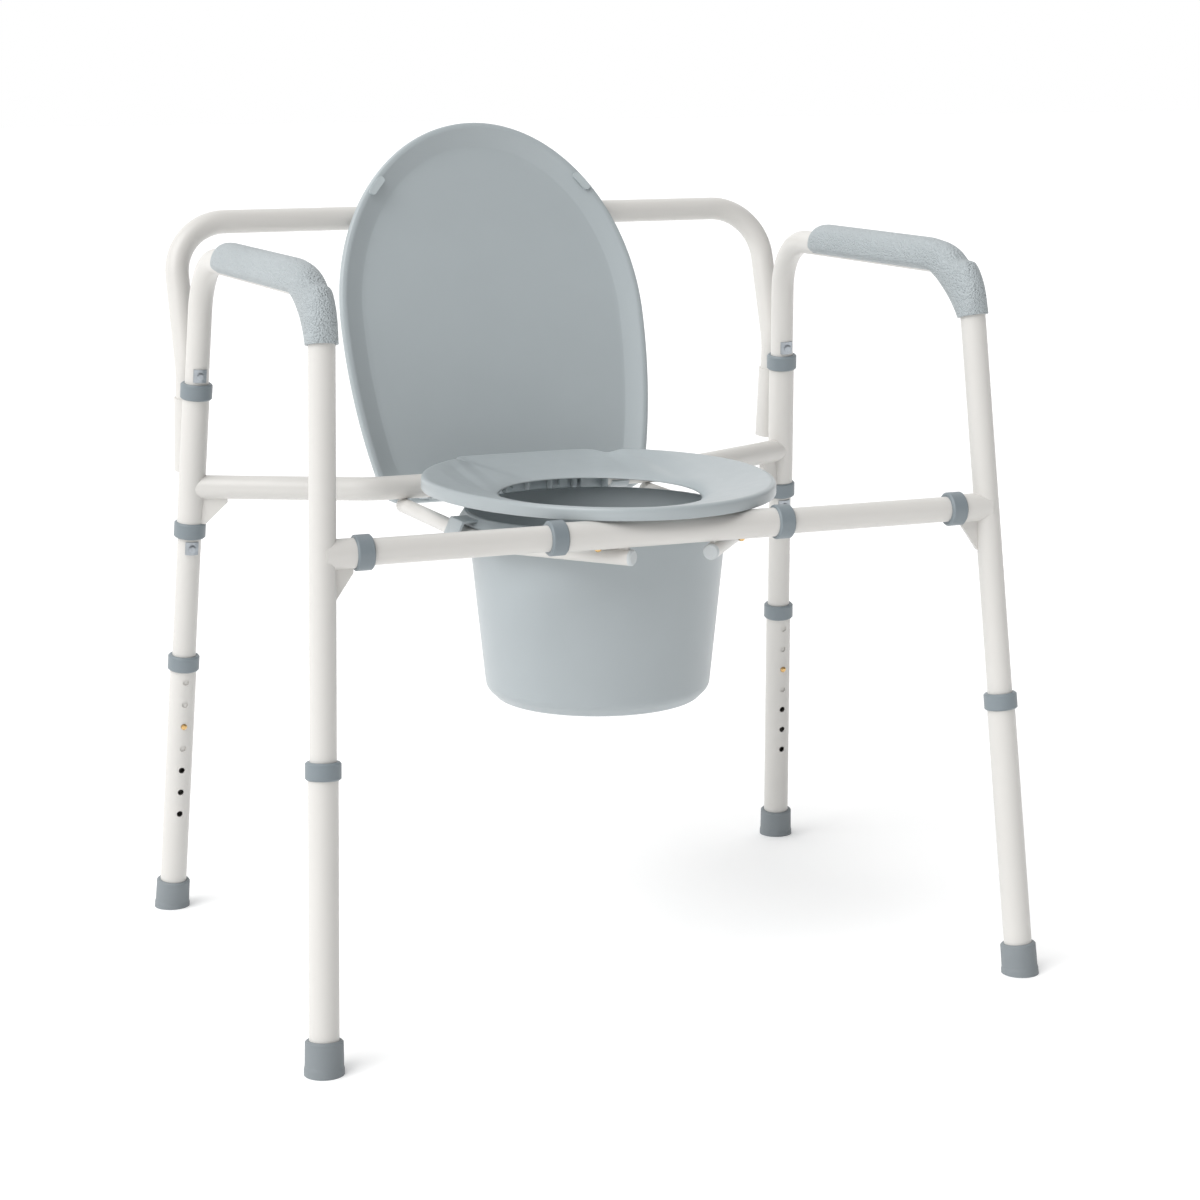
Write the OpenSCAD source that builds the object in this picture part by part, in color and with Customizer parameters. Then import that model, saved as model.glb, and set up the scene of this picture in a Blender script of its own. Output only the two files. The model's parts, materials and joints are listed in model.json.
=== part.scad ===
// Extra-wide steel commode chair: folding-type tube frame, four telescopic legs,
// hinged seat and lid on the rear crossbar, and a pail on two rails under the seat.
// X runs across the chair, -Y is its front, +Z is up and Z = 0 is the floor. All sizes in mm.

/* [Chair] */
// Sideways distance between the feet, centre to centre on the floor
foot_span = 750; // [730:5:770]
// Height of the arm tubes' centre line, measured up the side frame
arm_h = 726; // [700:2:750]
// Inward lean of each side frame, in degrees
lean = 2.86; // [2:0.02:3.5]
// Rake of the front legs, in degrees
front_rake = 5.76; // [5:0.02:6.5]
// Rake of the rear legs, in degrees
rear_rake = 6.22; // [5.5:0.02:7]
// Position of the front feet along the chair
front_foot_y = -292; // [-300:1:-286]
// Position of the rear feet along the chair
rear_foot_y = 282; // [275:1:290]

/* [Tubes] */
// Outer diameter of the side frame, rear crossbar and back bar tubes
tube_d = 25.4; // [25:0.1:26]
// Outer diameter of the leg extensions, sleeves, stubs and centre tube
outer_d = 28.6; // [28.6:0.1:29]
// Tube wall
wall = 1.5; // [1.2:0.1:1.8]
// Diameter of the pail rails
rail_d = 16; // [14:0.5:17]
// Bend radius of the side frame tubes
bend_r = 64; // [56:2:70]

/* [Legs] */
// Distance from one height hole to the next
hole_pitch = 25.4; // [25:0.1:25.4]
// Number of height holes in each leg extension
hole_count = 7; // [5:1:7]
// Length of a leg extension up from the floor, along the leg
ext_top = 290; // [286:1:296]
// Height of a rubber foot
foot_h = 32; // [24:1:34]

/* [Seat and lid] */
// Width of the seat
seat_w = 354; // [340:2:360]
// Height of the seat's underside above the floor
seat_z = 497.1; // [497:0.1:499]
// Backward lean of the open lid, in degrees
lid_lean = 18; // [17:0.25:18]

/* [Pail] */
// Outer radius of the pail at its rim
pail_r = 134.5; // [130:0.5:135]
// Height of the pail's floor above the ground
pail_z = 280; // [270:2:300]

/* [Hidden] */
$fn = 64;
WHITE = "ivory";
GREY = "slategray";
PALE = "lightslategray";
BRASS = "goldenrod";
ZINC = "silver";

tube_r = tube_d / 2;
outer_r = outer_d / 2;
rail_r = rail_d / 2;
slip = 0.1;                       // running clearance of a tube in a larger tube
band_t = 0.05;                    // how far a seam's band stands proud of its tube

// Height along the side frame of a level plane at height z
function plane_h(z) = z / cos(lean);
// Sideways position of the side frame at height z
function side_x(z) = foot_span / 2 - z * tan(lean);
// Positions of the leg centre lines at height z
function front_y(z) = front_foot_y + plane_h(z) * tan(front_rake);
function rear_y(z) = rear_foot_y - plane_h(z) * tan(rear_rake);

// Legs, measured along the leg from the floor
button_row = 3;                   // the button sits in the third hole from the top
first_hole = ext_top - 24;
button_t = first_hole - (button_row - 1) * hole_pitch;
inner_end = button_t - hole_pitch - 13;
ext_end = 7;
hole_r = 3.4;
button_r = 3.2;
bush_r = 17;
bush_h = 17;

// Crossbars
front_bar_z = 482.5;
front_bar_y = front_y(front_bar_z);
stub_end = 308;
centre_half = 124;
inner_tube_end = 52;
bar_button_x = 76;
rear_bar_z = 479;
rear_bar_y = 137;
rear_bend_x = 180;
rear_bend_r = 50;

// Rear sleeves, measured along the rear leg from the floor
sleeve_low = 431;
sleeve_high = 592;
stop_gap = 9;
socket_gap = 30;
socket_low = 497;
socket_high = 577;

// Rails
rail_z = rear_bar_z - tube_r - rail_r;
rail_x = 142;
rail_angle = 38;
rail_end_x = 42.9;
rail_end_y = -245;
rail_bend_r = 32;

// Seat and lid, about the hinge axis at the rear crossbar's centre
hinge_y = rear_bar_y;
hinge_z = rear_bar_z;
seat_mid_y = hinge_y - 188;
seat_front = 222;
seat_back = 186;
opening_half = 101;
opening_front = 124;
opening_back = 112;
opening_mid_y = seat_mid_y - 12;
clip_r = tube_r + slip;
rim_offset = 38.5;
lid_t = 11;
lid_low = -12;
lid_mid = 190;
lid_high = 412;
lid_half = 178;

// Pail
pail_y = -58;
pail_taper = 6;
pail_wall = 2.5;
pail_top = 477;
flange_r = 141.5;
lug_half = 18;
slot_z = 455;

// ---- placing ----

module mirrored(s) {
    if (s < 0) mirror([1, 0, 0]) children();
    else children();
}

// A side frame's plane: local Y runs along the chair and local Z up the leaning plane
module side_plane(s) {
    mirrored(s) translate([foot_span / 2, 0, 0]) rotate([0, -lean, 0]) children();
}

// A leg's centre line as local Z, from the floor up
module front_leg(s) {
    side_plane(s) translate([0, front_foot_y, 0]) rotate([-front_rake, 0, 0]) children();
}

module rear_leg(s) {
    side_plane(s) translate([0, rear_foot_y, 0]) rotate([rear_rake, 0, 0]) children();
}

// Local Z along the world's X axis, for the crossbars
module along_x() {
    rotate([0, 90, 0]) children();
}

// ---- shared shapes ----

module rod(r, z0, z1) {
    translate([0, 0, z0]) cylinder(r = r, h = z1 - z0);
}

module pipe(r, bore, z0, z1) {
    difference() {
        rod(r, z0, z1);
        rod(bore, z0 - 1, z1 + 1);
    }
}

// Thin band over the seam between a straight and a bend, which joins them as one solid
module band(r, z) {
    rod(r + band_t, z - 0.5, z + 0.5);
}

// Bent rod in the local YZ plane, centred on the origin, from angle a0 to a1
module bend_yz(r, bend, a0, a1) {
    rotate([90, 0, 90]) rotate([0, 0, a0])
        rotate_extrude(angle = a1 - a0) translate([bend, 0]) circle(r = r);
}

// The same in the local XY plane
module bend_xy(r, bend, a0, a1) {
    rotate([0, 0, a0]) rotate_extrude(angle = a1 - a0) translate([bend, 0]) circle(r = r);
}

// Moulded bush that caps the end of an outer tube: the tube's end is at Z = 0,
// the lip above it closes onto the inner tube
module bush() {
    lip = 4;
    c = 1.5;
    rotate_extrude() polygon([
        [outer_r, lip - bush_h], [bush_r - c, lip - bush_h], [bush_r, lip - bush_h + c],
        [bush_r, lip - c], [bush_r - c, lip], [tube_r + slip, lip],
        [tube_r + slip, 0], [outer_r, 0]
    ]);
}

// Snap button along local +Y, standing proud of an outer tube on local Z
module button() {
    proud = outer_r + 2.2;
    rotate([-90, 0, 0]) {
        rod(button_r, 5, proud - 1.2);
        translate([0, 0, proud - 1.2]) cylinder(r1 = button_r, r2 = 1.6, h = 1.2);
    }
}

// Leaf spring inside an inner tube: two strips joined by a half-round bend
module button_spring() {
    mid = 9.2;
    t = 0.8;
    long = 34;
    w = 7.6;
    difference() {
        for (side = [-1, 1])
            translate([-w / 2, side * mid - t / 2, -9]) cube([w, t, 9 + long]);
        rotate([-90, 0, 0]) rod(button_r + 0.15, 0, 20);
    }
    translate([-w / 2, 0, long]) rotate([90, 0, 90]) rotate_extrude(angle = 180)
        translate([mid - t / 2, 0]) square([t, w]);
}

// ---- side frames ----

// Centre line of one side tube as a rod of radius r, in the side plane
module side_rod(r, low) {
    front_corner = front_foot_y + arm_h * tan(front_rake);
    rear_corner = rear_foot_y - arm_h * tan(rear_rake);
    front_t = bend_r * tan((90 - front_rake) / 2);
    rear_t = bend_r * tan((90 - rear_rake) / 2);
    front_top = arm_h / cos(front_rake) - front_t;
    rear_top = arm_h / cos(rear_rake) - rear_t;
    arm_len = rear_corner - rear_t - front_corner - front_t;
    translate([0, front_foot_y, 0]) rotate([-front_rake, 0, 0]) {
        rod(r, low, front_top);
        band(r, front_top);
    }
    translate([0, rear_foot_y, 0]) rotate([rear_rake, 0, 0]) {
        rod(r, low, rear_top);
        band(r, rear_top);
    }
    translate([0, front_corner + front_t, arm_h - bend_r])
        bend_yz(r, bend_r, 90, 180 - front_rake);
    translate([0, rear_corner - rear_t, arm_h - bend_r])
        bend_yz(r, bend_r, rear_rake, 90);
    translate([0, front_corner + front_t, arm_h]) rotate([-90, 0, 0]) {
        rod(r, 0, arm_len);
        band(r, 0);
        band(r, arm_len);
    }
}

module side_frame(s) {
    color(WHITE) difference() {
        side_plane(s) side_rod(tube_r, inner_end);
        side_plane(s) side_rod(tube_r - wall, inner_end - 1);
        front_leg(s) translate([0, 0, button_t]) rotate([-90, 0, 0]) rod(hole_r, 0, 30);
        rear_leg(s) translate([0, 0, button_t]) rotate([90, 0, 0]) rod(hole_r, 0, 30);
    }
}

// Moulded pad: a domed cap over the straight arm, a sleeve round the front bend,
// and a web that fills the inner corner
module arm_pad(s) {
    corner = front_foot_y + arm_h * tan(front_rake);
    bend_y = corner + bend_r * tan((90 - front_rake) / 2);
    bend_z = arm_h - bend_r;
    back = rear_foot_y - arm_h * tan(rear_rake) - bend_r - 28;
    cap_r = 20;
    cap_rise = 3;
    sleeve_r = 18;
    sleeve_angle = 166;
    web_t = 24;
    low = bend_z + bend_r * sin(sleeve_angle);
    low_y = bend_y + bend_r * cos(sleeve_angle);
    color(GREY) difference() {
        side_plane(s) {
            translate([0, back, arm_h]) rotate([90, 0, 0]) linear_extrude(back - bend_y + 8)
                intersection() {
                    translate([0, cap_rise]) circle(r = cap_r);
                    translate([-cap_r - 1, -4]) square([2 * cap_r + 2, 40]);
                }
            translate([0, bend_y, bend_z]) bend_yz(sleeve_r, bend_r, 90, sleeve_angle);
            rotate([90, 0, 90]) translate([0, 0, -web_t / 2]) linear_extrude(web_t) polygon([
                [low_y, low + 1], [low_y + sleeve_r - 2, low + 2],
                [corner + 24, arm_h - 36], [corner + 44, arm_h - 20],
                [corner + 78, arm_h - 5], [corner + 78, arm_h + 4], [corner + 34, arm_h - 8]
            ]);
        }
        side_plane(s) side_rod(tube_r, inner_end);
    }
}

// ---- front crossbar ----

module front_stub(s) {
    color(WHITE) difference() {
        translate([0, front_bar_y, front_bar_z]) mirrored(s) along_x()
            pipe(outer_r, tube_r + slip, stub_end, side_x(front_bar_z));
        side_plane(s) side_rod(tube_r, inner_end);
    }
}

// Triangular plates under the stubs
module front_gussets() {
    arm = 16;
    drop = 44;
    t = 5;
    x = side_x(front_bar_z);
    color(WHITE) for (s = [-1, 1]) difference() {
        mirrored(s) translate([0, front_bar_y + t / 2, front_bar_z]) rotate([90, 0, 0])
            linear_extrude(t) polygon([
                [x, -6], [x - tube_r - arm, -6], [x - tube_r - arm, -outer_r - 4],
                [x - tube_r + 2, -drop], [x, -drop]
            ]);
        side_plane(s) side_rod(tube_r, inner_end);
        translate([0, front_bar_y, front_bar_z]) mirrored(s) along_x()
            rod(outer_r, stub_end - 40, side_x(front_bar_z));
    }
}

module crossbar_tube(s) {
    color(WHITE) translate([0, front_bar_y, front_bar_z]) mirrored(s) difference() {
        along_x() pipe(tube_r, tube_r - wall, inner_tube_end, side_x(front_bar_z) - tube_r - 2);
        translate([bar_button_x, 0, 0]) rotate([180, 0, 0]) rod(hole_r, 0, 30);
    }
}

module crossbar_centre_tube() {
    color(WHITE) translate([0, front_bar_y, front_bar_z]) difference() {
        along_x() pipe(outer_r, tube_r + slip, -centre_half, centre_half);
        for (s = [-1, 1])
            translate([s * bar_button_x, 0, 0]) rotate([180, 0, 0]) rod(hole_r, 0, 30);
    }
}

module crossbar_bushes() {
    color(GREY) translate([0, front_bar_y, front_bar_z]) for (s = [-1, 1]) mirrored(s) {
        translate([centre_half, 0, 0]) along_x() bush();
        translate([stub_end, 0, 0]) rotate([0, -90, 0]) bush();
    }
}

// Places a button or spring in a crossbar tube, with its button pointing down
module bar_button_place(s) {
    translate([0, front_bar_y, front_bar_z]) mirrored(s) translate([bar_button_x, 0, 0])
        along_x() rotate([0, 0, -90]) children();
}

module crossbar_springs() {
    color(ZINC) for (s = [-1, 1]) bar_button_place(s) button_spring();
}

module crossbar_button(s) {
    color(BRASS) bar_button_place(s) button();
}

// ---- rear frame ----

module rear_sleeve(s) {
    color(WHITE) rear_leg(s) pipe(outer_r, tube_r + slip, sleeve_low, sleeve_high);
}

module sleeve_bushes() {
    color(GREY) for (s = [-1, 1]) rear_leg(s) {
        translate([0, 0, sleeve_high]) bush();
        translate([0, 0, sleeve_low]) mirror([0, 0, 1]) bush();
    }
}

// Heights along the rear leg of the two stops that keep a sleeve in place
stop_heights = [sleeve_low - stop_gap - 5, sleeve_high + stop_gap + 5];
stop_t = 1.6;
rivet_r = 2;

// Small curved plates riveted to the front of the rear upright above and below each sleeve
module stop_plates() {
    half = 7;
    color(ZINC) for (s = [-1, 1]) rear_leg(s) for (z = stop_heights) difference() {
        intersection() {
            pipe(tube_r + stop_t, tube_r, z - half, z + half);
            translate([-half, -30, z - half - 1]) cube([2 * half, 30, 2 * half + 2]);
        }
        translate([0, 0, z]) rotate([90, 0, 0]) rod(rivet_r, 0, 30);
    }
}

module stop_rivets() {
    face = tube_r + stop_t;
    head_r = 4;
    color(ZINC) for (s = [-1, 1]) rear_leg(s) for (z = stop_heights) difference() {
        translate([0, 0, z]) rotate([90, 0, 0]) {
            rod(rivet_r, tube_r - 1, face);
            rod(head_r, face, face + 1);
            translate([0, 0, face + 1]) cylinder(r1 = head_r, r2 = 2.4, h = 0.8);
        }
        rod(tube_r, z - 10, z + 10);
    }
}

// Rear crossbar as a rod of radius r: straight behind the seat, swept back to the sleeves
module rear_bar_rod(r) {
    end_x = side_x(rear_bar_z);
    end_y = rear_y(rear_bar_z);
    sweep = atan2(end_y - rear_bar_y, end_x - rear_bend_x);
    t = rear_bend_r * tan(sweep / 2);
    reach = norm([end_x - rear_bend_x, end_y - rear_bar_y]);
    translate([0, rear_bar_y, rear_bar_z]) {
        along_x() rod(r, t - rear_bend_x, rear_bend_x - t);
        for (s = [-1, 1]) mirrored(s) {
            along_x() band(r, rear_bend_x - t);
            translate([rear_bend_x - t, rear_bend_r, 0]) bend_xy(r, rear_bend_r, -90, sweep - 90);
            translate([rear_bend_x, 0, 0]) rotate([0, 0, sweep]) along_x() {
                rod(r, t, reach);
                band(r, t);
            }
        }
    }
}

module rear_crossbar() {
    color(WHITE) difference() {
        rear_bar_rod(tube_r);
        rear_bar_rod(tube_r - wall);
        for (s = [-1, 1]) rear_leg(s) rod(outer_r, sleeve_low, sleeve_high);
    }
}

module rear_gussets() {
    t = 5;
    arm = 24;
    drop = 40;
    end_x = side_x(rear_bar_z);
    end_y = rear_y(rear_bar_z);
    sweep = atan2(end_y - rear_bar_y, end_x - rear_bend_x);
    color(WHITE) difference() {
        for (s = [-1, 1]) mirrored(s) translate([end_x, end_y, rear_bar_z]) rotate([0, 0, sweep])
            translate([0, t / 2, 0]) rotate([90, 0, 0]) linear_extrude(t) polygon([
                [0, -6], [-outer_r - arm, -6], [-outer_r - arm, -tube_r - 4],
                [-outer_r, -drop], [0, -drop]
            ]);
        for (s = [-1, 1]) rear_leg(s) rod(outer_r, sleeve_low, sleeve_high);
        rear_bar_rod(tube_r);
    }
}

module back_bar_socket(s) {
    half = (socket_high - socket_low) / 2;
    color(WHITE) difference() {
        union() {
            bar_leg(s) rod(outer_r, -half, half);
            rear_leg(s) translate([-4, 0, socket_low + 4])
                cube([8, socket_gap, 2 * half - 8]);
        }
        rear_leg(s) rod(outer_r, socket_low - 5, socket_high + 5);
        bar_leg(s) rod(tube_r + slip, -half - 5, half + 5);
    }
}

// Local Z runs up the back bar's leg from the middle of its socket
module bar_leg(s) {
    mid = (socket_low + socket_high) / 2 * cos(rear_rake) * cos(lean);
    y = rear_y(545) + socket_gap - (mid - 545) * tan(rear_rake);
    mirrored(s) translate([side_x(545), y, mid]) rotate([rear_rake, 0, 0]) children();
}

// ---- back bar ----

// The bar as a rod of radius r: legs in the sockets, a kink backwards, an arch on top
module back_bar_rod(r, cut) {
    kink_z = 602;
    kink_bend = 60;
    lean_back = 17.3;
    top_z = 756;
    arch_r = 58;
    x = side_x(545);
    y = rear_y(545) + socket_gap;
    kink = rear_rake + lean_back;
    kt = kink_bend * tan(kink / 2);
    low = (kink_z - socket_low) / cos(rear_rake) - 4 - cut;
    high = (top_z - kink_z) / cos(lean_back);
    y_kink = y - (kink_z - 545) * tan(rear_rake);
    translate([0, y_kink, kink_z]) {
        for (s = [-1, 1]) mirrored(s) translate([x, 0, 0]) {
            rotate([rear_rake, 0, 0]) {
                rod(r, -low, -kt);
                band(r, -kt);
                translate([0, kink_bend, -kt]) bend_yz(r, kink_bend, 180 - kink, 180);
            }
            rotate([-lean_back, 0, 0]) {
                rod(r, kt, high - arch_r);
                band(r, kt);
                band(r, high - arch_r);
            }
        }
        rotate([-lean_back, 0, 0]) {
            for (s = [-1, 1]) mirrored(s) {
                translate([x - arch_r, 0, high - arch_r]) rotate([90, 0, 0]) bend_xy(r, arch_r, 0, 90);
                translate([0, 0, high]) along_x() band(r, x - arch_r);
            }
            translate([0, 0, high]) along_x() rod(r, arch_r - x, x - arch_r);
        }
    }
}

module back_bar() {
    color(WHITE) difference() {
        back_bar_rod(tube_r, 0);
        back_bar_rod(tube_r - wall, -1);
    }
}

// ---- pail rails ----

module rail_rod(s, r) {
    corner_y = rail_end_y + (rail_x - rail_end_x) / tan(rail_angle);
    t = rail_bend_r * tan(rail_angle / 2);
    reach = (rail_x - rail_end_x) / sin(rail_angle);
    mirrored(s) translate([rail_x, corner_y, rail_z]) {
        rotate([-90, 0, 0]) {
            rod(r, t, hinge_y - corner_y + 6);
            band(r, t);
        }
        translate([-rail_bend_r, t, 0]) bend_xy(r, rail_bend_r, -rail_angle, 0);
        rotate([0, 0, -rail_angle]) rotate([90, 0, 0]) {
            rod(r, t, reach);
            band(r, t);
        }
    }
}

module pail_rail(s) {
    color(WHITE) rail_rod(s, rail_r);
}

// Plastic caps on the front ends of the rails
module rail_caps() {
    color(PALE) for (s = [-1, 1]) mirrored(s) translate([rail_end_x, rail_end_y, rail_z])
        rotate([0, 0, -rail_angle]) rotate([90, 0, 0]) {
            rod(rail_r, 0, 2);
            translate([0, 0, 2]) cylinder(r1 = rail_r, r2 = rail_r - 1.5, h = 1.5);
        }
}

// Small plates between the centre tube and the rails
module rail_gussets() {
    color(WHITE) for (s = [-1, 1]) difference() {
        mirrored(s) translate([rail_end_x, rail_end_y, rail_z]) rotate([0, 0, -rail_angle])
            translate([-2, 2, 4]) cube([4, 26, rail_r + 6]);
        rail_rod(s, rail_r);
        translate([0, front_bar_y, front_bar_z]) along_x() rod(outer_r, -centre_half, centre_half);
    }
}

// ---- legs ----

module leg_extension_holes() {
    for (i = [0 : hole_count - 1])
        translate([0, 0, first_hole - i * hole_pitch]) rotate([-90, 0, 0]) rod(hole_r, 0, 30);
}

// One extension in its own frame, with its holes along local +Y
module leg_extension() {
    color(WHITE) difference() {
        pipe(outer_r, tube_r + slip, ext_end, ext_top);
        leg_extension_holes();
    }
}

module leg_bush() {
    color(GREY) translate([0, 0, ext_top]) bush();
}

// Rubber foot: a cup round the extension's end, with a wider tread
module foot_body() {
    r = 18.2;
    tread_r = 19.2;
    rotate_extrude() polygon([
        [0, -4], [tread_r, -4], [tread_r, 5], [r + 0.3, 8], [r, foot_h - 1.5], [r - 1.5, foot_h],
        [outer_r, foot_h], [outer_r, ext_end], [0, ext_end]
    ]);
}

module floor_cut() {
    translate([-600, -600, -60]) cube([1200, 1200, 60]);
}

// Snap button of one leg: the front legs' buttons face back and the rear legs' face forward
module leg_button(s, front) {
    color(BRASS) {
        if (front) front_leg(s) translate([0, 0, button_t]) button();
        else rear_leg(s) translate([0, 0, button_t]) rotate([0, 0, 180]) button();
    }
}

module leg_springs() {
    color(ZINC) for (s = [-1, 1]) {
        front_leg(s) translate([0, 0, button_t]) button_spring();
        rear_leg(s) translate([0, 0, button_t]) rotate([0, 0, 180]) button_spring();
    }
}

module front_foot(s) {
    color(PALE) difference() {
        front_leg(s) foot_body();
        floor_cut();
    }
}

module rear_foot(s) {
    color(PALE) difference() {
        rear_leg(s) foot_body();
        floor_cut();
    }
}

// ---- seat ----

// Closed curve of two half ellipses that share a width
function egg(half_w, front, back, n = 72) = [
    for (i = [0 : n - 1]) let (a = 360 * i / n)
        [half_w * cos(a), (sin(a) < 0 ? front : back) * sin(a)]
];

module seat_outline(inset) {
    translate([0, seat_mid_y]) polygon(egg(seat_w / 2 - inset, seat_front - inset, seat_back - inset));
}

module seat_opening(grow) {
    translate([0, opening_mid_y])
        polygon(egg(opening_half + grow, opening_front + grow, opening_back + grow));
}

module seat() {
    base = 10.9;
    crown = 4;
    lip = 6.6;
    tab_half = 84;
    tab_y = 88;
    color(PALE) {
        difference() {
            union() {
                translate([0, 0, seat_z]) linear_extrude(base) seat_outline(0);
                translate([0, 0, seat_z + base]) linear_extrude(crown) seat_outline(12);
                translate([0, 0, seat_z - lip]) linear_extrude(lip + 1) seat_opening(4);
                translate([-tab_half, tab_y, hinge_z + 15.5])
                    cube([2 * tab_half, hinge_y + 24 - tab_y, 9]);
            }
            translate([0, 0, seat_z - lip - 1]) linear_extrude(40) seat_opening(0);
            translate([0, 0, seat_z + base]) linear_extrude(20) seat_opening(10);
        }
    }
}

// A clip of width w that snaps onto the crossbar, drawn across the bar: the children are
// its solid parts, and its mouth opens towards local -Y of the drawing
module clip(w) {
    mouth = 40;
    rotate([90, 0, 90]) translate([0, 0, -w / 2]) linear_extrude(w) difference() {
        union() {
            circle(r = clip_r + 2.6);
            children();
        }
        circle(r = clip_r);
        polygon([[0, 0], [-mouth, -mouth], [mouth, -mouth]]);
    }
}

module seat_clips() {
    color(PALE) for (s = [-1, 1]) translate([s * 58, hinge_y, hinge_z])
        clip(26) translate([-13, 0]) square([26, 15.5]);
}

// ---- lid ----

// The open lid's frame: local Z runs up the lid from the hinge and local Y points backwards
module lid_place() {
    translate([0, hinge_y, hinge_z]) rotate([-lid_lean, 0, 0]) children();
}

module lid_outline(inset) {
    low_half = 150;
    drop = lid_mid - lid_low;
    back = drop / sqrt(1 - pow(low_half / lid_half, 2));
    intersection() {
        translate([0, lid_mid])
            polygon(egg(lid_half - inset, back - inset, lid_high - lid_mid - inset, 96));
        translate([-200, lid_low + inset]) square([400, 500]);
    }
}

module lid() {
    rim_w = 10;
    panel_t = 3;
    color(PALE) lid_place() translate([0, rim_offset + lid_t, 0]) rotate([90, 0, 0]) difference() {
        linear_extrude(lid_t) lid_outline(0);
        translate([0, 0, panel_t]) linear_extrude(lid_t) lid_outline(rim_w);
    }
}

// Arms from the lid's underside to the crossbar
module lid_clips() {
    color(PALE) lid_place() for (s = [-1, 1]) translate([s * 104, 0, 0]) rotate([-90, 0, 0])
        clip(20) {
            translate([-9, 0]) square([18, rim_offset]);
            translate([-9, rim_offset - 1]) square([11, lid_t - 2]);
        }
}

// Oblong rubber bumpers near the lid's front edge
module lid_bumpers() {
    z = 341;
    x = 121;
    tilt = 40;
    long = 24;
    w = 8;
    color(GREY) lid_place() for (s = [-1, 1]) mirrored(s)
        translate([x, rim_offset, z]) rotate([90, 0, 0]) rotate([0, 0, tilt]) linear_extrude(3) {
            translate([-w / 2, w / 2 - long / 2]) square([w, long - w]);
            for (e = [-1, 1]) translate([0, e * (long - w) / 2]) circle(r = w / 2);
        }
}

// ---- pail ----

module pail() {
    low_r = pail_r - (pail_top - pail_z) * tan(pail_taper);
    slope = tan(pail_taper);
    flange_z = rail_z + rail_r;
    flange_in = low_r + (flange_z - pail_z) * slope;
    floor_t = 3;
    round_r = 9;
    color(PALE) difference() {
        translate([0, pail_y, 0]) union() {
            rotate_extrude() polygon([
                [0, pail_z], [low_r - round_r, pail_z], [low_r - 3, pail_z + 3],
                [low_r + round_r * slope, pail_z + round_r],
                [flange_in, flange_z], [flange_r, flange_z], [flange_r, flange_z + 3],
                [pail_r + 3, pail_top - 2], [pail_r + 2, pail_top], [pail_r - pail_wall, pail_top],
                [low_r - pail_wall + round_r * slope, pail_z + round_r],
                [low_r - pail_wall - 6, pail_z + floor_t], [0, pail_z + floor_t]
            ]);
            for (s = [-1, 1]) mirrored(s) pail_lug();
        }
    }
}

// A hooked lug over the rail, with a slot in its outer wall
module pail_lug() {
    top = pail_top - 2;
    low = 446;
    in_x = pail_r + 1;
    slant = 0.46;
    t = 2.6;
    out_x = 153.5;
    difference() {
        translate([0, lug_half, 0]) rotate([90, 0, 0]) linear_extrude(2 * lug_half) polygon([
            [in_x, top], [out_x, top], [out_x + (top - low) * slant, low],
            [out_x + (top - low) * slant - t, low], [out_x - t + 0.5 * slant, top - t],
            [in_x, top - t]
        ]);
        translate([140, -2.6, slot_z - 3.5]) cube([40, 5.2, 7]);
    }
}

side_frame(-1);  // side_frame_left
side_frame(1);  // side_frame_right
arm_pad(-1);  // arm_pad_left
arm_pad(1);  // arm_pad_right
front_stub(-1);  // front_stub_left
front_stub(1);  // front_stub_right
front_gussets();
crossbar_tube(-1);  // crossbar_tube_left
crossbar_tube(1);  // crossbar_tube_right
crossbar_centre_tube();
crossbar_bushes();
crossbar_springs();
crossbar_button(-1);  // crossbar_button_left
crossbar_button(1);  // crossbar_button_right
rear_sleeve(-1);  // rear_sleeve_left
rear_sleeve(1);  // rear_sleeve_right
sleeve_bushes();
stop_plates();
stop_rivets();
rear_crossbar();
rear_gussets();
back_bar_socket(-1);  // back_bar_socket_left
back_bar_socket(1);  // back_bar_socket_right
back_bar();
pail_rail(-1);  // pail_rail_left
pail_rail(1);  // pail_rail_right
rail_caps();
rail_gussets();
leg_springs();
front_leg(-1) leg_extension();  // leg_front_left
front_leg(1) leg_extension();  // leg_front_right
rear_leg(-1) rotate([0, 0, 180]) leg_extension();  // leg_rear_left
rear_leg(1) rotate([0, 0, 180]) leg_extension();  // leg_rear_right
front_leg(-1) leg_bush();  // leg_bush_front_left
front_leg(1) leg_bush();  // leg_bush_front_right
rear_leg(-1) leg_bush();  // leg_bush_rear_left
rear_leg(1) leg_bush();  // leg_bush_rear_right
front_foot(-1);  // foot_front_left
front_foot(1);  // foot_front_right
rear_foot(-1);  // foot_rear_left
rear_foot(1);  // foot_rear_right
leg_button(-1, true);  // leg_button_front_left
leg_button(1, true);  // leg_button_front_right
leg_button(-1, false);  // leg_button_rear_left
leg_button(1, false);  // leg_button_rear_right
seat();
seat_clips();
lid();
lid_clips();
lid_bumpers();
pail();
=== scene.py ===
import json
import math

import bmesh
import bpy
from mathutils import Matrix, Vector


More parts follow.
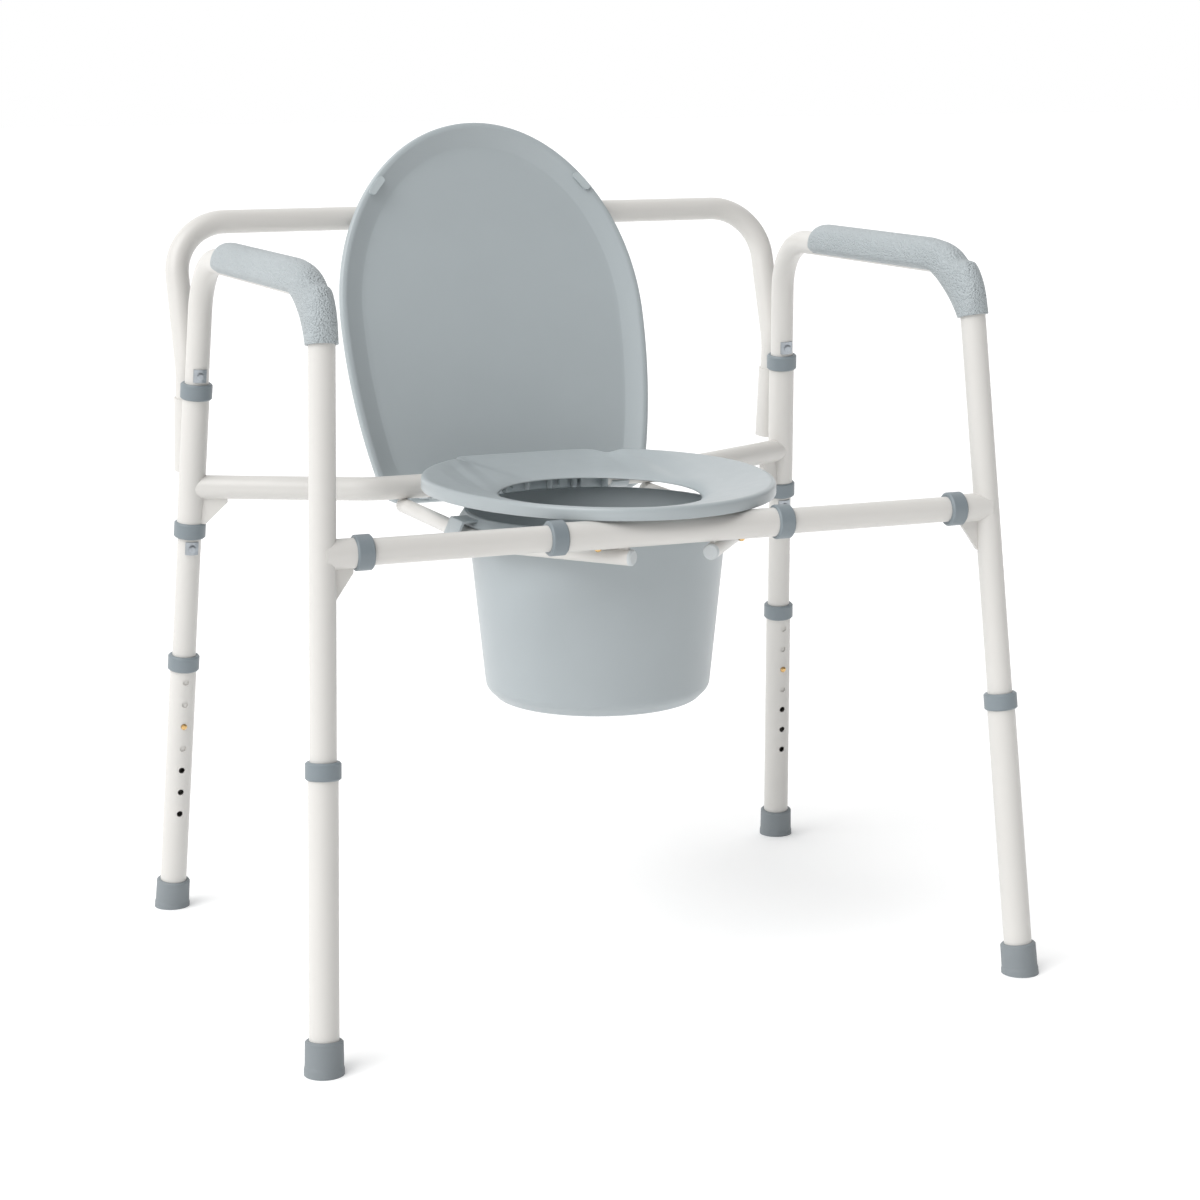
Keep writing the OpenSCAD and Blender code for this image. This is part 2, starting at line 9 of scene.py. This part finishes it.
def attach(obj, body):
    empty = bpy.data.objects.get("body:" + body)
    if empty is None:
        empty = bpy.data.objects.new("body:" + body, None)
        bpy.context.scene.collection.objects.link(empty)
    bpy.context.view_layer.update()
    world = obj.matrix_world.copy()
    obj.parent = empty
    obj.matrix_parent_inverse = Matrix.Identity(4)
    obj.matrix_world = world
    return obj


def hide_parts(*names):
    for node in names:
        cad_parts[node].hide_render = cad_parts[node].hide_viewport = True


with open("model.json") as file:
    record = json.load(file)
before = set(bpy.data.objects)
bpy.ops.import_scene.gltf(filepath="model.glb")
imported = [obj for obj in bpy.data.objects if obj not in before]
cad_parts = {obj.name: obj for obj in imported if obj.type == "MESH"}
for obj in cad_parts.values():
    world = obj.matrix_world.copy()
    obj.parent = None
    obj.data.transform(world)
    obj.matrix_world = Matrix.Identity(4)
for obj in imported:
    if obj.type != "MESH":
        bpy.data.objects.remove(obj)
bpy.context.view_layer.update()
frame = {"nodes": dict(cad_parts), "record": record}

TAU = 2 * math.pi

# The CAD's own dimensions that the shapes below follow, in metres
FOOT_SPAN = 0.750
LEAN = math.radians(2.86)
FRONT_RAKE = math.radians(5.76)
REAR_RAKE = math.radians(6.22)
FRONT_FOOT_Y = -0.292
REAR_FOOT_Y = 0.282
ARM_H = 0.726
BEND_R = 0.064
TUBE_R = 0.0127
HINGE = Vector((0, 0.137, 0.479))
LID_LEAN = math.radians(18)
SEAT_MID_Y = HINGE.y - 0.188
SEAT_HALF = 0.177
SEAT_FRONT = 0.222
SEAT_BACK = 0.186
OPENING_HALF = 0.101
OPENING_FRONT = 0.124
OPENING_BACK = 0.112
OPENING_MID_Y = SEAT_MID_Y - 0.012
PAIL_Y = -0.058


# ---- meshes ----

def make(name, verts, faces, body, material, replaces=()):
    """A new piece from plain vertices and faces, riding on a body."""
    mesh = bpy.data.meshes.new(name)
    mesh.from_pydata([tuple(v) for v in verts], [], faces)
    mesh.validate()
    bm = bmesh.new()
    bm.from_mesh(mesh)
    bmesh.ops.remove_doubles(bm, verts=bm.verts, dist=1e-6)
    bmesh.ops.recalc_face_normals(bm, faces=bm.faces)
    bm.to_mesh(mesh)
    bm.free()
    mesh.shade_smooth()
    piece = bpy.data.objects.new(name, mesh)
    bpy.context.scene.collection.objects.link(piece)
    mesh.materials.append(material)
    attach(piece, body)
    if replaces:
        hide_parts(*replaces)
    return piece


def loft(rings, close_ends=False, loop=False):
    """Quads between closed rings of equal length. loop joins the last ring to the first."""
    n = len(rings[0])
    verts = [p for ring in rings for p in ring]
    faces = []
    count = len(rings)
    for i in range(count if loop else count - 1):
        a, b = i * n, ((i + 1) % count) * n
        for j in range(n):
            k = (j + 1) % n
            faces.append((a + j, a + k, b + k, b + j))
    if close_ends:
        faces.append(tuple(range(n - 1, -1, -1)))
        faces.append(tuple(range((count - 1) * n, count * n)))
    return verts, faces


def rounded(points, radii, steps=4):
    """An open outline whose corners are rounded with arcs. radii has one value per point."""
    out = [Vector(points[0])]
    for i in range(1, len(points) - 1):
        p, a, b = (Vector(points[k]) for k in (i, i - 1, i + 1))
        r = radii[i]
        if r <= 0:
            out.append(p)
            continue
        u, v = (a - p).normalized(), (b - p).normalized()
        half = math.acos(max(-1, min(1, u.dot(v)))) / 2
        t = min(r / math.tan(half), 0.49 * (a - p).length, 0.49 * (b - p).length)
        for s in range(steps + 1):
            w = s / steps
            start, end = p + u * t, p + v * t
            out.append((1 - w) ** 2 * start + 2 * w * (1 - w) * p + w * w * end)
    out.append(Vector(points[-1]))
    return out


def soften(piece, width, angle=30):
    """A small bevel along the edges that are sharper than angle, in degrees."""
    bevel = piece.modifiers.new("edge", "BEVEL")
    bevel.width = width
    bevel.segments = 2
    bevel.limit_method = "ANGLE"
    bevel.angle_limit = math.radians(angle)


def egg(half, front, back, count):
    """Closed curve of two half ellipses that share a width, anticlockwise from +X."""
    out = []
    for i in range(count):
        a = TAU * i / count
        y = math.sin(a)
        out.append(Vector((half * math.cos(a), (front if y < 0 else back) * y)))
    return out


def smooth(v):
    """0 to 1 with soft ends, clamped."""
    v = max(0.0, min(1.0, v))
    return v * v * (3 - 2 * v)


# ---- materials ----

ROUGH_SPREAD = 0.06


def material(name, colour, roughness, *, metallic=0.0, tint=0.04, tint_scale=9.0, coat=0.0,
             bumps=()):
    """A procedural material whose colour and roughness vary a little over the surface.

    tint is how far the colour varies, and bumps is a list of (kind, scale, strength, distance).
    """
    m = bpy.data.materials.new(name)
    m.use_nodes = True
    nt = m.node_tree
    nodes, links = nt.nodes, nt.links
    shader = nodes["Principled BSDF"]
    shader.inputs["Metallic"].default_value = metallic
    shader.inputs["Coat Weight"].default_value = coat
    shader.inputs["Coat Roughness"].default_value = 0.25
    where = nodes.new("ShaderNodeTexCoord")
    broad = nodes.new("ShaderNodeTexNoise")
    broad.inputs["Scale"].default_value = tint_scale
    broad.inputs["Detail"].default_value = 3
    links.new(where.outputs["Object"], broad.inputs["Vector"])
    ramp = nodes.new("ShaderNodeValToRGB")
    ramp.color_ramp.elements[0].position = 0.3
    ramp.color_ramp.elements[1].position = 0.7
    ramp.color_ramp.elements[0].color = (*[c * (1 - tint) for c in colour], 1)
    ramp.color_ramp.elements[1].color = (*[min(1, c * (1 + tint)) for c in colour], 1)
    links.new(broad.outputs["Fac"], ramp.inputs["Fac"])
    links.new(ramp.outputs["Color"], shader.inputs["Base Color"])
    fine = nodes.new("ShaderNodeTexNoise")
    fine.inputs["Scale"].default_value = 60
    fine.inputs["Detail"].default_value = 4
    links.new(where.outputs["Object"], fine.inputs["Vector"])
    spread = nodes.new("ShaderNodeMapRange")
    spread.inputs["To Min"].default_value = roughness - ROUGH_SPREAD
    spread.inputs["To Max"].default_value = roughness + ROUGH_SPREAD
    links.new(fine.outputs["Fac"], spread.inputs["Value"])
    links.new(spread.outputs["Result"], shader.inputs["Roughness"])
    normal = None
    for kind, scale, strength, distance in bumps:
        if kind == "pebble":
            tex = nodes.new("ShaderNodeTexVoronoi")
            tex.feature = "SMOOTH_F1"
            tex.inputs["Smoothness"].default_value = 0.6
            height = tex.outputs["Distance"]
        else:
            tex = nodes.new("ShaderNodeTexNoise")
            tex.inputs["Detail"].default_value = 3
            height = tex.outputs["Fac"]
        tex.inputs["Scale"].default_value = scale
        links.new(where.outputs["Object"], tex.inputs["Vector"])
        bump = nodes.new("ShaderNodeBump")
        bump.inputs["Strength"].default_value = strength
        bump.inputs["Distance"].default_value = distance
        bump.invert = kind == "pebble"
        links.new(height, bump.inputs["Height"])
        if normal is not None:
            links.new(normal, bump.inputs["Normal"])
        normal = bump.outputs["Normal"]
    if normal is not None:
        links.new(normal, shader.inputs["Normal"])
    return m


PAINT = material("powder_coat", (0.640, 0.626, 0.600), 0.38, tint=0.010, coat=0.10,
                 bumps=[("noise", 900, 0.05, 0.0004)])
PAD = material("pebbled_plastic", (0.400, 0.440, 0.456), 0.46, tint=0.03,
               bumps=[("pebble", 530, 0.85, 0.0021), ("noise", 1500, 0.12, 0.0004)])
BUSH = material("bush_plastic", (0.205, 0.240, 0.262), 0.44,
                bumps=[("noise", 1100, 0.08, 0.0003)])
SEAT = material("seat_plastic", (0.385, 0.425, 0.440), 0.33, tint=0.015,
                bumps=[("noise", 700, 0.03, 0.0003)])
# painted light: the lid is the same plastic as the seat, but its colour is made lighter so that
# it looks more brightly lit
LID_PAINTED_BRIGHTER = material("lid_plastic", (0.412, 0.455, 0.472), 0.36, tint=0.015,
               bumps=[("noise", 700, 0.03, 0.0003)])
PAIL = material("pail_plastic", (0.385, 0.425, 0.442), 0.35, tint=0.02,
                bumps=[("noise", 500, 0.04, 0.0003)])
RUBBER = material("foot_rubber", (0.215, 0.240, 0.255), 0.60,
                  bumps=[("noise", 1300, 0.15, 0.0004)])
BUMPER = material("bumper_rubber", (0.47, 0.52, 0.535), 0.50,
                  bumps=[("noise", 900, 0.1, 0.0003)])
CAP = material("cap_plastic", (0.52, 0.55, 0.56), 0.42, bumps=[("noise", 900, 0.06, 0.0003)])
BRASS = material("button_brass", (0.72, 0.47, 0.20), 0.26, metallic=1.0,
                 bumps=[("noise", 1400, 0.08, 0.0002)])
ZINC = material("zinc_plate", (0.40, 0.43, 0.46), 0.36, metallic=1.0, tint=0.10,
                tint_scale=120, bumps=[("noise", 800, 0.15, 0.0002)])
STEEL = material("spring_steel", (0.56, 0.56, 0.57), 0.30, metallic=1.0,
                 bumps=[("noise", 900, 0.1, 0.0002)])

BY_SLOT = {
    "frame_paint": PAINT, "pad_plastic": PAD, "bush_plastic": BUSH, "spring_steel": STEEL,
    "zinc": ZINC, "foot_rubber": RUBBER, "button_brass": BRASS, "seat_plastic": SEAT,
    "lid_plastic": LID_PAINTED_BRIGHTER, "bumper_rubber": BUMPER, "pail_plastic": PAIL, "cap_plastic": CAP,
}


def paint_cad_nodes():
    """Gives every CAD node the material of its record slot."""
    for part in frame["record"]["subparts"]:
        node = frame["nodes"][part["node"]]
        node.data.materials.clear()
        node.data.materials.append(BY_SLOT[part["material_slot"]])


# ---- arm pads ----

def side_matrix(side):
    """Maps (across, along, up) of a side frame's leaning plane to the chair."""
    lean = Matrix.Rotation(-LEAN, 4, "Y")
    place = Matrix.Translation((FOOT_SPAN / 2, 0, 0)) @ lean
    return place if side > 0 else Matrix.Diagonal((-1, 1, 1, 1)) @ place


PAD_FROM_BEND = 0.028          # the pad's rear end, in front of the arm's rear bend
PAD_END = math.radians(168)    # where the sleeve ends, as an angle about the front bend
PAD_GAP = 0.0003               # between the tube and the pad's inside
PAD_UNDER = 0.0095             # depth below the tube's middle along the arm
SLEEVE_UNDER = 0.0145          # depth on the inside of the bend, at both ends of the web
PAD_TIP = (0.0140, 0.0137)     # half width, and height over the tube's middle, at the rear end
PAD_FULL = (0.0198, 0.0226)    # the same along the arm
PAD_SLIM = 0.0042              # how much both shrink towards the bend
KNUCKLE = 0.0070               # how far the knuckle stands up on the bend
VALLEY = 0.0022                # the dip before it
SLEEVE_TAPER = 0.0030          # how much the height falls towards the sleeve's end


def arm_pad(side, node):
    """A moulded pad lofted along the arm tube: dome, valley, knuckle, web and sleeve."""
    place = side_matrix(side)
    corner = FRONT_FOOT_Y + ARM_H * math.tan(FRONT_RAKE)
    bend_y = corner + BEND_R * math.tan((math.pi / 2 - FRONT_RAKE) / 2)
    bend_z = ARM_H - BEND_R
    back = REAR_FOOT_Y - ARM_H * math.tan(REAR_RAKE) - BEND_R - PAD_FROM_BEND
    straight = back - bend_y
    total = straight + BEND_R * (PAD_END - math.pi / 2)
    half = (PAD_END - math.pi / 2) / 2
    around = 56
    along = 120

    def station(s):
        """Tube centre and outward direction at distance s from the pad's rear end."""
        if s <= straight:
            return Vector((0, back - s, ARM_H)), Vector((0, 0, 1))
        a = math.pi / 2 + (s - straight) / BEND_R
        out = Vector((0, math.cos(a), math.sin(a)))
        return Vector((0, bend_y, bend_z)) + out * BEND_R, out

    def shape(s):
        """Half width, outward height and inward depth of the pad at s."""
        rear = min(1, s / 0.020)
        rear = math.sqrt(max(0.0, 1 - (1 - rear) ** 2))
        front = smooth((s - straight + 0.045) / 0.060)
        bend = s - straight
        width = PAD_TIP[0] + (PAD_FULL[0] - PAD_TIP[0]) * rear - PAD_SLIM * front
        step = smooth((bend - 0.036) / 0.011) * (1 - smooth((bend - 0.044) / 0.044))
        high = PAD_TIP[1] + (PAD_FULL[1] - PAD_TIP[1]) * rear
        high -= PAD_SLIM * smooth((bend + 0.030) / 0.060)
        high += KNUCKLE * step - VALLEY * math.exp(-((bend - 0.033) / 0.008) ** 2)
        high -= SLEEVE_TAPER * smooth((bend - 0.062) / 0.024)
        # a straight web spans the inside of the bend
        if bend > 0:
            chord = (BEND_R - SLEEVE_UNDER) * math.cos(half)
            web = BEND_R - chord / math.cos(bend / BEND_R - half)
        else:
            web = SLEEVE_UNDER + bend * math.tan(half)
        deep = (PAD_UNDER ** 12 + max(web, 0) ** 12) ** (1 / 12)
        return width, high, deep

    bore = TUBE_R + PAD_GAP
    outer, inner = [], []
    for i in range(along + 1):
        s = total * i / along
        centre, out = station(s)
        width, high, deep = shape(s)
        ring_out, ring_in = [], []
        for j in range(around):
            a = TAU * j / around
            c, up = math.cos(a), math.sin(a)
            lift = high * up if up > 0 else deep * up
            flat = abs(c) ** 0.85 * math.copysign(1, c)
            ring_out.append(place @ (centre + Vector((width * flat, 0, 0)) + out * lift))
            if deep < TUBE_R and up < 0:
                lift = max(-deep, TUBE_R * up)
            else:
                lift = bore * up
            ring_in.append(place @ (centre + Vector((bore * c, 0, 0)) + out * lift))
        outer.append(ring_out)
        inner.append(ring_in)
    verts, faces = loft(outer + inner[::-1], loop=True)
    piece = make(node + "_shell", verts, faces, "frame", PAD, [node])
    soften(piece, 0.0008, 50)


# ---- seat ----

SEAT_LOW = 0.4971       # lower edge of the outer wall
SEAT_CREST = 0.5100     # top of the rim at the front
CREST_RISE = 0.0020     # how much higher the rim is at the rear
FUNNEL_LOW = 0.4962     # where the funnel meets the lip
LIP_DROP = 0.0052       # how much lower the lip rolls
LIP_LOW = 0.4905        # lowest edge of the lip
SEAT_SKIN = 0.003
RIM_INSET = 0.0044      # from the outer wall to where the funnel starts
CREASE_X = 0.109        # the crease on each side of the hinge tab
CREASE_DEPTH = 0.0030
TAB_HALF = 0.084        # the hinge tab's half width
TAB_BACK = 0.1585       # its rear edge
TAB_DROP = 0.0060       # how far its top lies below the rim
TAB_WALL = 0.0024       # how much lower the outer wall is along the tab


def seat_height(x, y, t):
    """Top surface of the seat at (x, y), t of the way from its crest to the opening."""
    back = (y - (SEAT_MID_Y - SEAT_FRONT)) / (SEAT_FRONT + SEAT_BACK)
    crest = SEAT_CREST + CREST_RISE * max(0.0, min(1, back))
    z = crest - (crest - FUNNEL_LOW) * t - LIP_DROP * t ** 9
    behind = smooth((y + 0.066) / 0.060)
    z -= TAB_DROP * behind * (1 - t) ** 0.7 * (1 - smooth((abs(x) - 0.076) / 0.024))
    off = abs(x) - CREASE_X
    tent = max(0.0, 1 - math.sqrt(off * off + 2e-6) / (0.034 if off < 0 else 0.026))
    return z - CREASE_DEPTH * tent * behind * (1 - t ** 8) * smooth(t / 0.25)


def seat_outline(count):
    """The seat's egg joined with the hinge tab behind it, about the seat's middle."""
    back = TAB_BACK - SEAT_MID_Y
    out = []
    for i in range(count):
        a = TAU * i / count
        c, s = math.cos(a), math.sin(a)
        depth = SEAT_FRONT if s < 0 else SEAT_BACK
        oval = 1 / math.hypot(c / SEAT_HALF, s / depth)
        r = oval
        if s > 0:
            tab = ((abs(c) / TAB_HALF) ** 14 + (s / back) ** 14) ** (-1 / 14)
            r = (oval ** 70 + tab ** 70) ** (1 / 70)
        out.append(Vector((r * c, r * s)))
    return out


def inward(points):
    """Unit vectors that point into a closed anticlockwise outline."""
    n = len(points)
    out = []
    for i in range(n):
        along = points[(i + 1) % n] - points[i - 1]
        out.append(Vector((-along.y, along.x)).normalized())
    return out


def seat():
    """A thin moulding: outer wall, crest, funnel down to the opening, lip, and hinge tab."""
    count = 640
    steps = 30
    outer = seat_outline(count)
    normals = inward(outer)
    hole = egg(OPENING_HALF, OPENING_FRONT, OPENING_BACK, count)

    def low(p):
        """Height of the outer wall's lower edge, which is deeper along the tab."""
        return SEAT_LOW if p.y < SEAT_BACK - 0.030 else SEAT_LOW - TAB_WALL

    def rim(inset, height, from_crest=True):
        ring = []
        for p, into in zip(outer, normals):
            q = p + into * inset
            y = SEAT_MID_Y + q.y
            base = seat_height(q.x, y, 0) if from_crest else low(p)
            ring.append(Vector((q.x, y, base + height)))
        return ring

    def funnel(t, drop):
        ring = []
        for p, into, h in zip(outer, normals, hole):
            a = p + into * RIM_INSET
            start = Vector((a.x, SEAT_MID_Y + a.y))
            q = start.lerp(Vector((h.x, OPENING_MID_Y + h.y)), t)
            ring.append(Vector((q.x, q.y, seat_height(q.x, q.y, t) - drop)))
        return ring

    def lip(grow, z):
        ring = []
        for h in hole:
            q = h + h.normalized() * grow
            ring.append(Vector((q.x, OPENING_MID_Y + q.y, z)))
        return ring

    rings = [
        rim(0.0028, 0.0, False), rim(0.0018, -0.0001, False), rim(0.0006, 0.0002, False),
        rim(0.0, 0.0012, False), rim(0.0, -0.0040), rim(0.0003, -0.0026), rim(0.0011, -0.0013),
        rim(0.0024, -0.0004),
    ]
    rings += [funnel(i / steps, 0.0) for i in range(steps + 1)]
    rings += [
        lip(0.0004, LIP_LOW + 0.00015), lip(0.0012, LIP_LOW), lip(0.0024, LIP_LOW + 0.0002),
        lip(0.0030, LIP_LOW + 0.0015),
    ]
    rings += [funnel(t, SEAT_SKIN) for t in (0.90, 0.75, 0.6, 0.45, 0.3, 0.15, 0.03)]
    rings += [rim(0.0028, -0.0038)]
    verts, faces = loft(rings, loop=True)
    make("seat_ring", verts, faces, "seat", SEAT, ["seat"])


def seat_skirt():
    """The wall and ribs under the seat's rear edge, in front of the crossbar."""
    verts, faces = [], []

    def block(x0, x1, y0, y1, z0, z1):
        n = len(verts)
        corners = ((x0, y0), (x1, y0), (x1, y1), (x0, y1))
        verts.extend((x, y, z) for z in (z0, z1) for x, y in corners)
        faces.extend([(n + 3, n + 2, n + 1, n), (n + 4, n + 5, n + 6, n + 7)])
        faces.extend((n + i, n + (i + 1) % 4, n + 4 + (i + 1) % 4, n + 4 + i) for i in range(4))

    half, wall, wall_back = 0.078, 0.1130, 0.1155
    rib_back, rib_top = wall + 0.0001, 0.4965
    block(-half, half, wall, wall_back, 0.4630, 0.4990)
    for x in (-half, -0.046, -0.040, -0.014, 0.012, 0.040, 0.046, 0.0765):
        block(x, x + 0.0018, 0.0985, rib_back, 0.4680, rib_top)
    for x in (-0.030, 0.024):
        block(x, x + 0.010, 0.1060, rib_back, 0.4740, rib_top)
    piece = make("seat_skirt", verts, faces, "seat", SEAT)
    soften(piece, 0.0004)


# ---- lid ----

LID_LOW = -0.012        # its straight lower end, measured up the lid from the hinge
LID_MID = 0.190         # where it is widest
LID_HIGH = 0.412
LID_HALF = 0.178        # half width at LID_MID
LID_LOW_HALF = 0.150    # half width at LID_LOW
LID_FRONT = 0.0385      # from the hinge back to the lid's front face, square to the lid
LID_THICK = 0.011
PANEL_DEPTH = 0.0080    # how far the panel is sunk below the rim


def lid():
    """The lid in its open place: rim, bevel and sunken panel in front, a smooth back."""
    count = 160
    low, mid, high, half = LID_LOW, LID_MID, LID_HIGH, LID_HALF
    lower = (mid - low) / math.sqrt(1 - (LID_LOW_HALF / half) ** 2)

    def outline(inset):
        """The lid's egg, cut straight across at its lower end, with rounded corners."""
        a_half, depth = half - inset, lower - inset
        bottom = low + inset
        cut = (mid - bottom) / depth
        side = math.asin(cut)
        pts = []
        upper = int(count * 0.82)
        for i in range(upper + 1):
            a = -side + (math.pi + 2 * side) * i / upper
            up = math.sin(a)
            z = mid + ((high - mid - inset) if up > 0 else depth) * up
            pts.append(Vector((a_half * math.cos(a), z)))
        first, last = pts[-1], pts[0]
        rest = count - len(pts)
        for i in range(1, rest + 1):
            pts.append(first.lerp(last, i / (rest + 1)))
        for _ in range(3):
            pts = [(pts[i - 1] + pts[i] * 2 + pts[(i + 1) % len(pts)]) / 4
                   if pts[i].y < bottom + 0.012 else pts[i] for i in range(len(pts))]
        return pts

    def face(layers, shrinks):
        """Rings from the edge inwards: one per (inset, depth), then the last one shrunk."""
        rings = [[(p, y) for p in outline(inset)] for inset, y in layers]
        last, flat = rings[-1], layers[-1][1]
        for t in shrinks:
            rings.append([(Vector((p.x * (1 - t), mid + (p.y - mid) * (1 - t))), flat)
                          for p, _ in last])
        return rings

    front = face([
        (0.0000, LID_THICK * 0.45), (0.0008, 0.0012), (0.0022, 0.0), (0.0060, 0.0),
        (0.0074, 0.0003), (0.0086, 0.0010), (0.0250, 0.0074), (0.0262, 0.0078),
        (0.0276, PANEL_DEPTH), (0.0330, PANEL_DEPTH),
    ], (0.25, 0.5, 0.75, 0.93))
    back = face([
        (0.0, LID_THICK * 0.6), (0.0012, LID_THICK - 0.0012), (0.0040, LID_THICK),
    ], (0.3, 0.6, 0.93))
    place = Matrix.Translation(HINGE) @ Matrix.Rotation(-LID_LEAN, 4, "X")
    rings = [[place @ Vector((p.x, LID_FRONT + y, p.y)) for p, y in ring]
             for ring in front[::-1] + back]
    verts, faces = loft(rings, close_ends=True)
    make("lid_shell", verts, faces, "lid", LID_PAINTED_BRIGHTER, ["lid"])


# ---- pail ----

PAIL_LOW = 0.280
PAIL_TOP = 0.477
PAIL_BAND = 0.4663      # where the rim's band starts
PAIL_TOP_R = 0.1345     # the wall's outer radius at the top, without the band
PAIL_WALL = 0.0025
PAIL_SLOPE = math.tan(math.radians(6))


def pail():
    """The pail turned about its middle: rounded foot, tapered wall, rim band and rolled lip."""
    count = 128
    z0, top, slope, wall = PAIL_LOW, PAIL_TOP, PAIL_SLOPE, PAIL_WALL
    r_low = PAIL_TOP_R - (top - z0) * slope
    outline = [
        (0.0, z0), (r_low - 0.010, z0), (r_low + 0.002, z0 + 0.012),
        (r_low + (PAIL_BAND - z0) * slope, PAIL_BAND), (0.1415, PAIL_BAND), (0.1415, 0.4693),
        (0.1375, top - 0.002), (0.1365, top), (0.1320, top),
        (r_low - wall + 0.010 * slope, z0 + 0.011), (r_low - wall - 0.010, z0 + 0.003),
        (0.0, z0 + 0.003),
    ]
    radii = [0, 0.010, 0.016, 0.0012, 0.0008, 0.0010, 0.0010, 0.0008, 0.0012, 0.012, 0.008, 0]
    profile = rounded([(r, z) for r, z in outline], radii, 6)
    rings = []
    for p in profile:
        radius = max(p.x, 1e-5)
        rings.append([Vector((radius * math.cos(TAU * i / count),
                              PAIL_Y + radius * math.sin(TAU * i / count), p.y))
                      for i in range(count)])
    verts, faces = loft(rings)
    make("pail_body", verts, faces, "pail", PAIL, ["pail"])


def pail_lug(side):
    """A hooked lug over the rail, with a slot through its outer wall."""
    top, low = 0.475, 0.446
    out_x, slant, t, half = 0.1535, 0.46, 0.0026, 0.018
    foot = out_x + (top - low) * slant
    outline = [
        (PAIL_TOP_R, top), (out_x, top), (foot, low), (foot - t, low),
        (out_x - t + 0.0003, top - t), (PAIL_TOP_R, top - t),
    ]
    verts = [Vector((side * x, PAIL_Y + y, z)) for y in (-half, half) for x, z in outline]
    n = len(outline)
    faces = [tuple(range(n)), tuple(range(2 * n - 1, n - 1, -1))]
    faces += [(i, (i + 1) % n, n + (i + 1) % n, n + i) for i in range(n)]
    name = "pail_lug_" + ("right" if side > 0 else "left")
    piece = make(name, verts, faces, "pail", PAIL)
    slot_size, slot_x, slot_z = (0.040, 0.0052, 0.0070), 0.166, 0.455
    cutter = bpy.data.meshes.new("slot")
    bm = bmesh.new()
    bmesh.ops.create_cube(bm, size=1.0)
    bmesh.ops.scale(bm, verts=bm.verts, vec=slot_size)
    bmesh.ops.translate(bm, verts=bm.verts, vec=(side * slot_x, PAIL_Y, slot_z))
    bm.to_mesh(cutter)
    bm.free()
    tool = bpy.data.objects.new("slot_tool", cutter)
    bpy.context.scene.collection.objects.link(tool)
    cut = piece.modifiers.new("slot", "BOOLEAN")
    cut.operation = "DIFFERENCE"
    cut.object = tool
    bpy.context.view_layer.update()
    cut_piece = piece.evaluated_get(bpy.context.evaluated_depsgraph_get())
    done = bpy.data.meshes.new_from_object(cut_piece)
    piece.modifiers.clear()
    piece.data = done
    bpy.data.objects.remove(tool)
    soften(piece, 0.0006)


# ---- studio ----

SUN_ENERGY = 2.0
SUN_ANGLE = math.radians(50)
SUN_TOWARD = Vector((0.80, 0.38, -0.90))
BRIGHT_SIDE = Vector((-0.40, 0.88, 0.25))   # where the surroundings are brightest
DIM = 0.28                                  # their strength on the opposite side
FLOOR_HALF = 30
FLOOR_GLOW = 0.14
CAMERA_AT = (-1.1020, -2.7137, 0.9458)
CAMERA_TOWARD = Vector((0.3769, 0.9059, -0.1932))
CAMERA_LENS = 85.03
CAMERA_ROLL = math.radians(-0.17)


def floor():
    """A plain pale floor that is far larger than the view."""
    mesh = bpy.data.meshes.new("floor")
    half = FLOOR_HALF
    mesh.from_pydata([(-half, -half, 0), (half, -half, 0), (half, half, 0), (-half, half, 0)],
                     [], [(0, 1, 2, 3)])
    obj = bpy.data.objects.new("floor", mesh)
    bpy.context.scene.collection.objects.link(obj)
    look = bpy.data.materials.new("floor")
    look.use_nodes = True
    shader = look.node_tree.nodes["Principled BSDF"]
    shader.inputs["Base Color"].default_value = (0.95, 0.95, 0.95, 1)
    shader.inputs["Roughness"].default_value = 0.9
    shader.inputs["Emission Color"].default_value = (1, 1, 1, 1)
    shader.inputs["Emission Strength"].default_value = FLOOR_GLOW
    mesh.materials.append(look)


def studio():
    """Soft surroundings that are brighter behind the chair, and one broad key light."""
    world = bpy.data.worlds.new("studio")
    world.use_nodes = True
    nodes, links = world.node_tree.nodes, world.node_tree.links
    where = nodes.new("ShaderNodeTexCoord")
    toward = nodes.new("ShaderNodeVectorMath")
    toward.operation = "DOT_PRODUCT"
    toward.inputs[1].default_value = BRIGHT_SIDE.normalized()
    links.new(where.outputs["Generated"], toward.inputs[0])
    fade = nodes.new("ShaderNodeMapRange")
    fade.interpolation_type = "SMOOTHSTEP"
    fade.inputs["From Min"].default_value = -0.35
    fade.inputs["From Max"].default_value = 0.45
    fade.inputs["To Min"].default_value = DIM
    fade.inputs["To Max"].default_value = 1.0
    links.new(toward.outputs["Value"], fade.inputs["Value"])
    links.new(fade.outputs["Result"], nodes["Background"].inputs["Strength"])
    nodes["Background"].inputs["Color"].default_value = (1, 1, 1, 1)
    bpy.context.scene.world = world
    sun = bpy.data.lights.new("key", "SUN")
    sun.energy = SUN_ENERGY
    sun.angle = SUN_ANGLE
    lamp = bpy.data.objects.new("key", sun)
    lamp.rotation_euler = SUN_TOWARD.to_track_quat("-Z", "Y").to_euler()
    bpy.context.scene.collection.objects.link(lamp)


def camera():
    """A camera at the photograph's viewing angle."""
    data = bpy.data.cameras.new("camera")
    data.sensor_width = 36
    data.lens = CAMERA_LENS
    obj = bpy.data.objects.new("camera", data)
    turn = CAMERA_TOWARD.to_track_quat("-Z", "Y").to_matrix().to_4x4()
    roll = Matrix.Rotation(CAMERA_ROLL, 4, "Z")
    obj.matrix_world = Matrix.Translation(CAMERA_AT) @ turn @ roll
    bpy.context.scene.collection.objects.link(obj)
    bpy.context.scene.camera = obj


paint_cad_nodes()
arm_pad(-1, "arm_pad_left")
arm_pad(1, "arm_pad_right")
seat()
seat_skirt()
lid()
pail()
pail_lug(-1)
pail_lug(1)
floor()
studio()
camera()
bpy.context.scene.view_settings.view_transform = "Standard"
